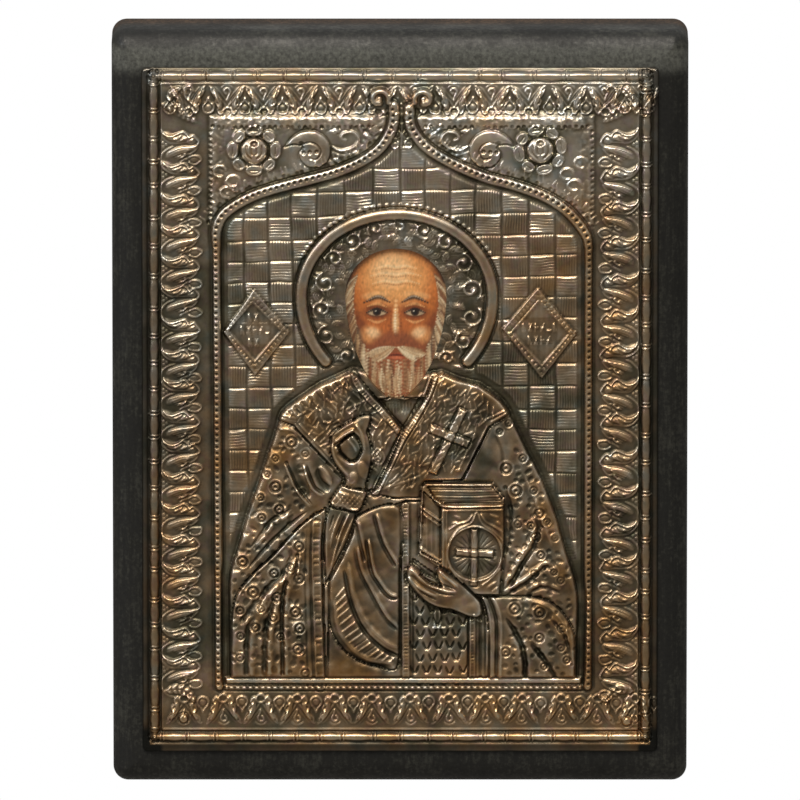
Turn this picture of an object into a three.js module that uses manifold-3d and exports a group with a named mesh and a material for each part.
// An icon panel: a wooden board, a painted picture let into its face, and an embossed sheet-metal
// cover over both, with a window for the painted head.
// Millimetres, +Z up, +X to the viewer's right. The front faces -Y and the board's flat back is y = 0.

import * as THREE from 'three';
import { mergeVertices } from 'three/addons/utils/BufferGeometryUtils.js';
import Module from 'manifold-3d';

const wasm = await Module();
wasm.setup();

// ---- driving dimensions ----

const GAP = 0.3; // clearance between pieces that touch
const BOARD = { width: 200, height: 267, depth: 26, corner: 5, roundWide: 5.8, roundDeep: 7 };
const PICTURE = { width: 46, height: 62, thick: 1.2, corner: 3, x: -1.3, z: 31 };
const SHEET = { thick: 1.2, left: -89.7, right: 89.7, bottom: -121.7, top: 121.2, corner: 2 };
const SINK = 1; // how deep pads are rooted in the sheet
const ROOT = 0.3; // how deep leaves and ridges are rooted in it
const WINDOW = { x: -1.4, z: 41, halfWidth: 17.6, rise: 16.4, drop: 36.6, taper: 1.8 };

const ROD = { x: 85.4, bottom: -116, top: 118.5, radius: 1.5, ring: 2.1, pitch: 16 };
const LEAF_BAND = { x: 76, bottom: -99, top: 99, leftUnits: 18, rightUnits: 16, width: 14 };
const TOP_BAND = { z: 110, left: -78, right: 78, units: 12, height: 11 };
const BOTTOM_BAND = { z: -107.5, left: -80, right: 80, units: 24, height: 12 };
const FRAME = { left: -62.8, right: 65.4, bottom: -98.2, top: 62, width: 2.8, rise: 1.8 };

const MOULDING = { radius: 2, sides: 6 };
const HALO = { x: -1.1, z: 40.5, halfWidth: 33.2, top: 29.4, bottom: 33.6, start: -46, end: 226 };
const DIAMONDS = [
  { x: -50.1, z: 27.9, halfWidth: 11.8, halfHeight: 15.4 },
  { x: 48.6, z: 27.9, halfWidth: 12.6, halfHeight: 15.4 },
];
const TILE_COLUMNS = [-61.6, -53.7, -45.2, -36.6, -28.8, -19, -9.3, 0.2, 8.7, 17.4, 26, 35.4, 44.6, 53.9, 63];
const TILE_ROWS = { top: 93.6, lower: 60, upperPitch: 8.4, lowerPitch: 7.4, count: 19, joint: 1.1 };

const RISE = { tile: 0.7, spandrel: 0.8, diamond: 1.1, robe: 1.7, stole: 2.4, book: 3.6, hand: 4.4 };

// How far forward the sheet's front face stands; the cover is drawn with that face at z = 0.
const SHEET_FACE = -(BOARD.depth + GAP + SHEET.thick);

// ---- small geometry helpers, all in panel coordinates: x across, y up, z towards the viewer ----

const flat = (pairs) => pairs.map(([x, y]) => new THREE.Vector2(x, y));
const mirror = (points, side) => points.map((p) => new THREE.Vector2(p.x * side, p.y));
const smooth = (points, steps) => new THREE.SplineCurve(points).getPoints(steps);

// Turns a closed geometry into a solid that can be joined and cut.
function solid(geometry) {
  geometry.deleteAttribute('normal');
  geometry.deleteAttribute('uv');
  const merged = mergeVertices(geometry, 1e-4);
  const vertProperties = new Float32Array(merged.attributes.position.array);
  const triVerts = new Uint32Array(merged.index.array);
  return new wasm.Manifold(new wasm.Mesh({ numProp: 3, vertProperties, triVerts }));
}

// Closed skin over a row of rings with the same number of points; the two ends are convex caps.
function loft(rings) {
  const count = rings[0].length;
  const faces = [];
  for (let i = 0; i + 1 < rings.length; i++) {
    for (let j = 0; j < count; j++) {
      const a = i * count + j;
      const b = i * count + ((j + 1) % count);
      faces.push(b, a, a + count, b, a + count, b + count);
    }
  }
  const last = (rings.length - 1) * count;
  for (let j = 1; j + 1 < count; j++) {
    faces.push(0, j, j + 1, last, last + j + 1, last + j);
  }
  const geometry = new THREE.BufferGeometry().setFromPoints(rings.flat());
  geometry.setIndex(faces);
  return geometry;
}

// Outline of a rectangle with round corners, counter-clockwise, shrunk by inset on every side.
function roundedRectangle(width, height, corner, inset = 0, steps = 4) {
  const radius = Math.max(corner - inset, 0.4);
  const points = [];
  for (let quarter = 0; quarter < 4; quarter++) {
    const sideX = quarter === 0 || quarter === 3 ? 1 : -1;
    const sideY = quarter < 2 ? 1 : -1;
    for (let i = 0; i <= steps; i++) {
      const angle = (quarter + i / steps) * Math.PI / 2;
      const x = sideX * (width / 2 - inset - radius) + radius * Math.cos(angle);
      const y = sideY * (height / 2 - inset - radius) + radius * Math.sin(angle);
      points.push(new THREE.Vector2(x, y));
    }
  }
  return points;
}

const lift = (outline, z) => outline.map((p) => new THREE.Vector3(p.x, p.y, z));

// Closed skin over outlines stacked one above another, lowest first, each counter-clockwise and convex.
const stack = (outlines) => loft([...outlines].reverse());

// A flat-topped pad standing on the sheet, its sides sloping in by slope over the whole rise.
function pad(outline, rise, slope = 0.5) {
  return new THREE.ExtrudeGeometry(new THREE.Shape(outline), {
    depth: SINK,
    bevelThickness: rise,
    bevelSize: slope,
    bevelOffset: -slope,
    bevelSegments: 1,
  }).translate(0, 0, -SINK);
}

// A faceted leaf: a star-shaped outline drawn up to one peak.
function leaf(outline, peak, rise) {
  const rim = THREE.ShapeUtils.isClockWise(outline) ? [...outline].reverse() : outline;
  const points = lift(rim, -ROOT);
  const [foot, top] = [points.length, points.length + 1];
  points.push(new THREE.Vector3(peak.x, peak.y, -ROOT), new THREE.Vector3(peak.x, peak.y, rise));
  const faces = rim.flatMap((_, i) => {
    const next = (i + 1) % rim.length;
    return [i, next, top, next, i, foot];
  });
  const geometry = new THREE.BufferGeometry().setFromPoints(points);
  geometry.setIndex(faces);
  return geometry;
}

// A four-cornered leaf from root to tip, highest nearer its root.
function spike(root, tip, width, rise) {
  const along = tip.clone().sub(root);
  const peak = root.clone().addScaledVector(along, 0.4);
  const across = new THREE.Vector2(along.y, -along.x).setLength(width / 2);
  return leaf([root, peak.clone().add(across), tip, peak.clone().sub(across)], peak, rise);
}

const rectangle = (x0, y0, x1, y1) => flat([[x0, y0], [x1, y0], [x1, y1], [x0, y1]]);

const rhombus = (x, y, halfWidth, halfHeight) =>
  flat([[x + halfWidth, y], [x, y + halfHeight], [x - halfWidth, y], [x, y - halfHeight]]);

// A roof-shaped ridge that follows a line over the panel and dies away at both ends: section points
// are [across, height] shares, scaled by width and rise, and by a half wave along the line.
function ridge(points, width, rise, steps = 5) {
  const curve = new THREE.SplineCurve(points);
  const section = [[-0.5, 0], [0.5, 0], [0, 1]];
  const rings = [];
  for (let i = 0; i <= steps; i++) {
    const t = i / steps;
    const swell = 0.15 + 0.85 * Math.sin(Math.PI * t) ** 0.6;
    const centre = curve.getPoint(t);
    const along = curve.getTangent(t);
    rings.push(section.map(([across, up]) => new THREE.Vector3(
      centre.x + along.y * across * width * swell,
      centre.y - along.x * across * width * swell,
      up ? rise * (0.4 + 0.6 * swell) : -ROOT,
    )));
  }
  return loft(rings);
}

// A round bar along a line over the panel, half sunk in the sheet.
function bar(points, radius, steps) {
  const curve = new THREE.CatmullRomCurve3(points.map((p) => new THREE.Vector3(p.x, p.y, 0)));
  const section = [];
  for (let i = 0; i < MOULDING.sides; i++) {
    const angle = (i / MOULDING.sides) * 2 * Math.PI;
    section.push(new THREE.Vector2(radius * Math.cos(angle), radius * Math.sin(angle)));
  }
  return new THREE.ExtrudeGeometry(new THREE.Shape(section), { steps, extrudePath: curve });
}

// A low dome of the given plan size: one half of a squashed ball.
function dome(x, y, halfWidth, halfHeight, rise, turn = 0, sides = 6) {
  return new THREE.SphereGeometry(1, sides, 4)
    .rotateX(Math.PI / 2)
    .scale(halfWidth, halfHeight, rise)
    .rotateZ(turn)
    .translate(x, y, 0);
}

// Points on part of an ellipse, from one angle to another.
function arc(x, y, radiusX, radiusY, fromDegrees, toDegrees, steps) {
  const points = [];
  for (let i = 0; i <= steps; i++) {
    const angle = THREE.MathUtils.degToRad(fromDegrees + (toDegrees - fromDegrees) * i / steps);
    points.push(new THREE.Vector2(x + radiusX * Math.cos(angle), y + radiusY * Math.sin(angle)));
  }
  return points;
}

function contains(outline, x, y) {
  let inside = false;
  outline.forEach((a, i) => {
    const b = outline[(i + 1) % outline.length];
    if ((a.y > y) !== (b.y > y) && x < a.x + (b.x - a.x) * (y - a.y) / (b.y - a.y)) inside = !inside;
  });
  return inside;
}

// ---- lines of the composition ----

// Half of the ogee arch, from its springing to the foot of its volute.
const HALF_ARCH = flat([
  [64.4, 56], [63.4, 64], [59.8, 69], [54, 74.2], [45, 78], [35, 80.9], [25, 84.2],
  [15, 88.6], [7.6, 93.6], [3.4, 99.4], [2.6, 105],
]);
const VOLUTE = arc(7.6, 110.2, 3.4, 3.4, 160, -150, 7);

const headOutline = () => {
  const points = [];
  const steps = 40;
  for (let i = 0; i < steps; i++) {
    const angle = (i / steps) * 2 * Math.PI;
    const up = Math.sin(angle);
    const power = up < 0 ? 2 / WINDOW.taper : 1;
    const reach = up < 0 ? WINDOW.drop : WINDOW.rise;
    const x = Math.sign(Math.cos(angle)) * Math.abs(Math.cos(angle)) ** power;
    const y = Math.sign(up) * Math.abs(up) ** power;
    points.push(new THREE.Vector2(WINDOW.x + WINDOW.halfWidth * x, WINDOW.z + reach * y));
  }
  return points;
};

// The halo's centre line: an egg, wider below its centre than above.
function haloLine(steps, grow = 0) {
  const points = arc(0, 0, 1, 1, HALO.start, HALO.end, steps);
  return points.map((p) => new THREE.Vector2(
    HALO.x + (HALO.halfWidth + grow) * p.x,
    HALO.z + ((p.y > 0 ? HALO.top : HALO.bottom) + grow) * p.y,
  ));
}

const ROBE_LEFT = smooth(flat([
  [-59.2, -60], [-57.2, -50.5], [-53.5, -38.3], [-48.5, -23.7], [-42.7, -5.5], [-39.4, 1.6],
  [-27.7, 10], [-14, 15.6],
]), 14);
const ROBE_RIGHT = smooth(flat([
  [12, 15.4], [27.7, 10], [36.6, 2.6], [40, -5], [47.2, -19.7], [54.2, -37], [59.4, -55.2], [61.5, -66],
]), 14);
const ROBE = [...ROBE_LEFT, ...ROBE_RIGHT, ...flat([[61, -96.6], [-59.4, -96.6]])];

const NICHE = [
  ...flat([[-61.4, -96.5], [63.8, -96.5]]),
  ...HALF_ARCH.map((p) => new THREE.Vector2(p.x - 1, p.y - 2.6)),
  ...mirror(HALF_ARCH, -1).map((p) => new THREE.Vector2(p.x + 2.4, p.y - 2.6)).reverse(),
];

// ---- the wooden board ----

function board() {
  const rings = [[0, 0], [0, BOARD.depth - BOARD.roundDeep]];
  const steps = 4;
  for (let i = 1; i <= steps; i++) {
    const angle = (i / steps) * Math.PI / 2;
    const depth = BOARD.depth - BOARD.roundDeep * (1 - Math.sin(angle));
    rings.push([BOARD.roundWide * (1 - Math.cos(angle)), depth]);
  }
  const blank = solid(stack(rings.map(([inset, depth]) =>
    lift(roundedRectangle(BOARD.width, BOARD.height, BOARD.corner, inset), depth))));
  const recess = PICTURE.thick + GAP;
  const pocket = roundedRectangle(PICTURE.width + 2 * GAP, PICTURE.height + 2 * GAP, PICTURE.corner + GAP);
  const cutter = stack([lift(pocket, BOARD.depth - recess), lift(pocket, BOARD.depth + 1)]);
  return blank.subtract(solid(cutter.translate(PICTURE.x, PICTURE.z, 0)));
}

// ---- the painted picture ----

function picture() {
  const outline = roundedRectangle(PICTURE.width, PICTURE.height, PICTURE.corner);
  const front = BOARD.depth;
  return solid(stack([lift(outline, front - PICTURE.thick), lift(outline, front)])
    .translate(PICTURE.x, PICTURE.z, 0));
}

// ---- the metal cover ----

function sheet() {
  const outline = roundedRectangle(SHEET.right - SHEET.left, SHEET.top - SHEET.bottom, SHEET.corner, 0, 2);
  return stack([lift(outline, -SHEET.thick), lift(outline, 0)])
    .translate((SHEET.left + SHEET.right) / 2, (SHEET.bottom + SHEET.top) / 2, 0);
}

// The rim: a rod along each edge of the cover, swelling to a ring at every pitch.
function rim() {
  const pieces = [];
  const corners = rectangle(-ROD.x, ROD.bottom, ROD.x, ROD.top);
  corners.forEach((start, side) => {
    const end = corners[(side + 1) % 4];
    const rings = Math.round(start.distanceTo(end) / ROD.pitch);
    const across = end.clone().sub(start).rotateAround(new THREE.Vector2(), -Math.PI / 2).normalize();
    const sections = [];
    for (let i = 0; i <= 2 * rings; i++) {
      const centre = start.clone().lerp(end, i / (2 * rings));
      const radius = i % 2 ? ROD.ring : ROD.radius;
      sections.push([[-1, -ROOT], [1, -ROOT], [0.55, radius], [-0.55, radius]].map(([share, up]) =>
        new THREE.Vector3(centre.x + across.x * share * radius, centre.y + across.y * share * radius, up)));
    }
    pieces.push(loft(sections), dome(start.x, start.y, 3.2, 3.2, 2.8));
  });
  return pieces;
}

// Down both sides: a row of arcs, each with a three-lobed leaf pointing inwards.
function leafBands() {
  const pieces = [];
  const outer = LEAF_BAND.width / 2;
  const lobes = flat([
    [5, -1.2], [5, 1.2], [1, 2.2], [-2, 4.3], [-1.8, 1.8], [-7, 0], [-1.8, -1.8], [-2, -4.3], [1, -2.2],
  ]);
  for (const [side, units] of [[-1, LEAF_BAND.leftUnits], [1, LEAF_BAND.rightUnits]]) {
    const pitch = (LEAF_BAND.top - LEAF_BAND.bottom) / units;
    for (let i = 0; i < units; i++) {
      const y = LEAF_BAND.bottom + (i + 0.5) * pitch;
      const place = (points) => points.map((p) => new THREE.Vector2(side * (LEAF_BAND.x + p.x), y + p.y));
      pieces.push(ridge(place(arc(-0.6, 0, outer, pitch * 0.46, 60, -60, 3)), 2.4, 1.7, 3));
      pieces.push(leaf(place(lobes), new THREE.Vector2(side * LEAF_BAND.x, y), 2));
    }
  }
  return pieces;
}

// Along the top: pairs of leaves in a V with a round drop between them.
function topBand() {
  const pieces = [];
  const pitch = (TOP_BAND.right - TOP_BAND.left) / TOP_BAND.units;
  const half = TOP_BAND.height / 2;
  for (let i = 0; i <= TOP_BAND.units; i++) {
    const x = TOP_BAND.left + i * pitch;
    for (const side of [-1, 1]) {
      const tip = new THREE.Vector2(x + side * pitch * 0.42, TOP_BAND.z + half);
      pieces.push(spike(new THREE.Vector2(x + side * 0.9, TOP_BAND.z - half), tip, 4.4, 2));
    }
    if (i < TOP_BAND.units) pieces.push(dome(x + pitch / 2, TOP_BAND.z - half + 2.6, 2, 2.4, 1.9));
  }
  return pieces;
}

// Along the bottom: a row of pointed leaves, tall and short by turns.
function bottomBand() {
  const pieces = [];
  const pitch = (BOTTOM_BAND.right - BOTTOM_BAND.left) / BOTTOM_BAND.units;
  const half = BOTTOM_BAND.height / 2;
  for (let i = 0; i < BOTTOM_BAND.units; i++) {
    const x = BOTTOM_BAND.left + (i + 0.5) * pitch;
    const tip = new THREE.Vector2(x, BOTTOM_BAND.z + (i % 2 ? half : half * 0.7));
    pieces.push(spike(new THREE.Vector2(x, BOTTOM_BAND.z - half), tip, pitch * 0.95, i % 2 ? 2.2 : 1.7));
  }
  return pieces;
}

// The inner frame and the ogee arch with its two volutes.
function archAndFrame() {
  const half = FRAME.width / 2;
  const pieces = [
    pad(rectangle(FRAME.left - half, FRAME.bottom, FRAME.left + half, FRAME.top), FRAME.rise, 0.8),
    pad(rectangle(FRAME.right - half, FRAME.bottom, FRAME.right + half, FRAME.top), FRAME.rise, 0.8),
    pad(rectangle(FRAME.left - half, FRAME.bottom - half, FRAME.right + half, FRAME.bottom + half), FRAME.rise, 0.8),
  ];
  for (const side of [-1, 1]) {
    pieces.push(bar(mirror([...HALF_ARCH, ...VOLUTE], side), MOULDING.radius, 23));
  }
  for (const lean of [-0.5, 0, 0.5]) {
    const line = flat([[0.4, 92], [0.4 + lean * 7, 103 - Math.abs(lean) * 4]]);
    pieces.push(spike(line[0], line[1], 3.4, 2));
  }
  return pieces;
}

// Above the arch: raised ground on each side, with a flower and two scrolls.
function spandrels() {
  const pieces = [];
  for (const side of [-1, 1]) {
    const ground = mirror([...HALF_ARCH.slice(1), ...flat([[9, 104], [66, 104], [66, 64]])], side);
    pieces.push(pad(ground, RISE.spandrel, 0.3));
    pieces.push(ridge(mirror(flat([[10, 103], [66, 103]]), side), 3.6, 1.5, 3));
    const x = side * 49.5;
    const y = 92.5;
    pieces.push(dome(x, y, 5, 5, 3.4, 0, 8));
    for (let i = 0; i < 8; i++) {
      const angle = (i + 0.5) * Math.PI / 4;
      pieces.push(dome(x + 7.6 * Math.cos(angle), y + 7.6 * Math.sin(angle), 2.6, 1.7, 1.9, angle));
    }
    pieces.push(ridge(mirror(arc(30, 92.8, 4.4, 4.4, 200, -60, 6), side), 2.6, 2, 6));
    pieces.push(ridge(mirror(arc(19, 96, 3, 3, 230, -20, 5), side), 2.2, 1.9, 5));
  }
  return pieces;
}

// The chased wall behind the figure: a chequer of low square tiles wherever nothing stands before it.
function tiles() {
  const rows = [];
  for (let i = 0; i < TILE_ROWS.count; i++) {
    const upper = (TILE_ROWS.top - TILE_ROWS.lower) / TILE_ROWS.upperPitch;
    rows.push(i < upper
      ? TILE_ROWS.top - i * TILE_ROWS.upperPitch
      : TILE_ROWS.lower - (i - upper) * TILE_ROWS.lowerPitch);
  }
  const obstacles = [
    haloLine(40, 3), ROBE,
    ...DIAMONDS.map((d) => rhombus(d.x, d.z, d.halfWidth + 1, d.halfHeight + 1)),
  ];
  const free = ([x, y]) => contains(NICHE, x, y) && !obstacles.some((outline) => contains(outline, x, y));
  const pieces = [];
  for (let r = 0; r + 1 < rows.length; r++) {
    for (let c = 0; c + 1 < TILE_COLUMNS.length; c++) {
      const [x0, x1] = [TILE_COLUMNS[c] + TILE_ROWS.joint / 2, TILE_COLUMNS[c + 1] - TILE_ROWS.joint / 2];
      const [y0, y1] = [rows[r + 1] + TILE_ROWS.joint / 2, rows[r] - TILE_ROWS.joint / 2];
      if (![[x0, y0], [x1, y0], [x1, y1], [x0, y1]].every(free)) continue;
      pieces.push(pad(rectangle(x0, y0, x1, y1), RISE.tile, 0.3));
    }
  }
  return pieces;
}

// The halo: a round moulding, with small scrolls on the ground inside it.
function halo() {
  const pieces = [bar(haloLine(16), MOULDING.radius, 22)];
  for (let i = 0; i < 9; i++) {
    const angle = THREE.MathUtils.degToRad(-36 + i * 31.5);
    const up = Math.sin(angle);
    const x = HALO.x + 25 * Math.cos(angle);
    const y = HALO.z + (up > 0 ? 22.6 : 26) * up;
    const turn = THREE.MathUtils.radToDeg(angle);
    pieces.push(ridge(arc(x, y, 3.1, 3.1, turn, turn + 250, 5), 2, 1.5, 4));
  }
  return pieces;
}

// A lozenge in three steps, with two rows of short strokes in it.
function diamond({ x, z, halfWidth, halfHeight }) {
  const pieces = [1, 0.84, 0.7].map((share, step) =>
    pad(rhombus(x, z, halfWidth * share, halfHeight * share), RISE.diamond + 0.4 * step, 0.5));
  for (const row of [-2.6, 2.6]) {
    for (const column of [-3.6, -1.2, 1.2, 3.6]) {
      const [foot, head] = flat([[x + column, z + row - 1.7], [x + column, z + row + 1.7]]);
      pieces.push(spike(foot, head, 1.4, RISE.diamond + 1.4));
    }
  }
  return pieces;
}

// The half-length figure: its robe with folds, the stole, the book and the two hands.
function figure() {
  const folds = [
    [[-40.7, -17.5], [-36, -28], [-30.8, -33.9]],
    [[-33.8, -20.1], [-30.8, -25.9], [-26, -30.1]],
    [[-36.8, -35.6], [-43.3, -39.2], [-49.8, -47.6]],
    [[-25.6, -33.6], [-37.3, -42.7], [-49.4, -55.4], [-56.8, -64.5]],
    [[-39, -57.8], [-48, -65.5], [-53.7, -75.6]],
    [[-50, -78], [-50, -95]], [[-44, -72], [-43.6, -95]], [[-38.6, -66], [-38, -95]],
    [[-29.5, -48], [-28.4, -70], [-27.7, -95]],
    [[-22.5, -56], [-19, -72], [-10, -85], [0, -89]],
    [[-14.7, -47.7], [-9.1, -64], [0, -76.9]],
    [[43.3, -50], [39, -56.5], [36, -62.7]],
    [[27.7, -65.2], [39, -65.2], [51.1, -66.7], [58.5, -73.8]],
    [[29, -67], [32, -80], [32.4, -94]],
    [[40.5, -76], [44.5, -84], [46, -94]], [[50, -80], [55, -88], [57, -94]],
  ];
  const stole = [
    [[-40.5, -1], [-35, -4], [-26, -16.1], [-18.6, -23.7], [-12, -26], [-2, -12], [-14.4, 11]],
    [[11.6, 12], [30, 0], [31.4, -4.6], [21.7, -23.7], [7, -30.5], [-11.2, -30.5], [3, -6]],
  ];
  const pieces = [pad(ROBE, RISE.robe, 0.7)];
  for (const line of folds) pieces.push(ridge(flat(line), 5, RISE.robe + 1.2, 5));
  for (const outline of stole) pieces.push(pad(flat(outline), RISE.stole, 0.5));
  pieces.push(ridge(flat([[20.4, 2], [17.4, -8.5], [11, -22]]), 3.4, RISE.stole + 0.7, 4));
  pieces.push(ridge(flat([[10, -4.8], [24, -11.6]]), 3, RISE.stole + 0.7, 3));
  pieces.push(ridge(flat([[2, -33], [2, -95]]), 3.4, RISE.robe + 0.8, 2));
  return [...pieces, ...book(), ...hands()];
}

// The closed book: a leaning block with a panel and a cross on its cover.
function book() {
  const cross = flat([
    [24.9, -41.4], [24.9, -48.6], [19.5, -48.6], [19.5, -51.4], [24.9, -51.4], [24.9, -61],
    [27.3, -61], [27.3, -51.4], [32.6, -51.4], [32.6, -48.6], [27.3, -48.6], [27.3, -41.4],
  ]);
  const back = flat([[7.4, -26], [32, -25.2], [35.8, -30], [36.2, -64.5], [24, -64.5], [7.2, -51]]);
  const cover = flat([[15.6, -34.3], [36.1, -34.3], [34.8, -63.8], [24.8, -63.8], [15.6, -56]]);
  return [
    pad(back, RISE.book - 0.9, 0.6),
    pad(cover, RISE.book, 0.5),
    pad(rhombus(26, -50, 8.6, 12), RISE.book + 0.4, 0.4),
    pad(cross, RISE.book + 1, 0.3),
  ];
}

// Both hands: fingers are tapering ridges, palms are low domes.
function hands() {
  const fingers = [
    [[-20.6, -10], [-18.4, -4], [-16.4, 1.5]], [[-17.2, -9], [-15.4, -3], [-13.2, 1.8]],
    [[-13.8, -10], [-12.4, -5], [-12.8, -1]], [[-22.4, -13], [-18.6, -8.6], [-14.6, -9]],
    [[3.7, -55.6], [10, -61], [19.9, -63.8]], [[2.6, -59.3], [9, -64], [18, -66]],
    [[3.6, -63], [10, -67.4], [20, -69]], [[12.4, -55.6], [16, -58.6], [19.5, -61.4]],
  ];
  const pieces = fingers.map((line) => ridge(flat(line), 4, RISE.hand, 4));
  pieces.push(dome(-17, -18, 6, 8.6, RISE.hand - 0.4, 0.2, 8));
  pieces.push(dome(19, -68, 9, 3.4, RISE.hand - 0.2, -0.1, 8));
  pieces.push(ridge(flat([[-24.4, -32], [-14, -33.4]]), 8, RISE.hand - 0.6, 3));
  return pieces;
}

function cover() {
  const forms = [
    ...rim(), ...leafBands(), ...topBand(), ...bottomBand(), ...archAndFrame(), ...spandrels(),
    ...tiles(), ...halo(), ...DIAMONDS.flatMap(diamond), ...figure(),
  ];
  const embossed = forms.reduce((whole, form) => whole.add(solid(form)), solid(sheet()));
  const window = new THREE.ExtrudeGeometry(new THREE.Shape(headOutline()), { depth: 20, bevelEnabled: false });
  const behind = new THREE.BoxGeometry(2 * BOARD.width, 2 * BOARD.height, 20);
  return embossed
    .subtract(solid(window.translate(0, 0, -10)))
    .subtract(solid(behind.translate(0, 0, -10 - SHEET.thick)));
}

// ---- the panel ----

// A named mesh from a solid in panel coordinates, turned upright; depth is where its local z = 0 lies.
function piece(name, body, material, depth = 0) {
  const { vertProperties, triVerts } = body.getMesh();
  const geometry = new THREE.BufferGeometry();
  geometry.setAttribute('position', new THREE.BufferAttribute(vertProperties, 3));
  geometry.setIndex(new THREE.BufferAttribute(triVerts, 1));
  const mesh = new THREE.Mesh(geometry, material);
  mesh.name = name;
  mesh.rotation.x = Math.PI / 2;
  mesh.position.y = depth;
  return mesh;
}

const stainedWood = new THREE.MeshStandardMaterial({ color: '#24211e', roughness: 0.6, metalness: 0 });
const paint = new THREE.MeshStandardMaterial({ color: '#b4703c', roughness: 0.55, metalness: 0 });
const silveredCopper = new THREE.MeshStandardMaterial({ color: '#8e8476', roughness: 0.35, metalness: 1 });

const panel = new THREE.Group();
panel.add(piece('wooden_board', board(), stainedWood));
panel.add(piece('painted_picture', picture(), paint));
panel.add(piece('metal_cover', cover(), silveredCopper, SHEET_FACE));

export default panel;
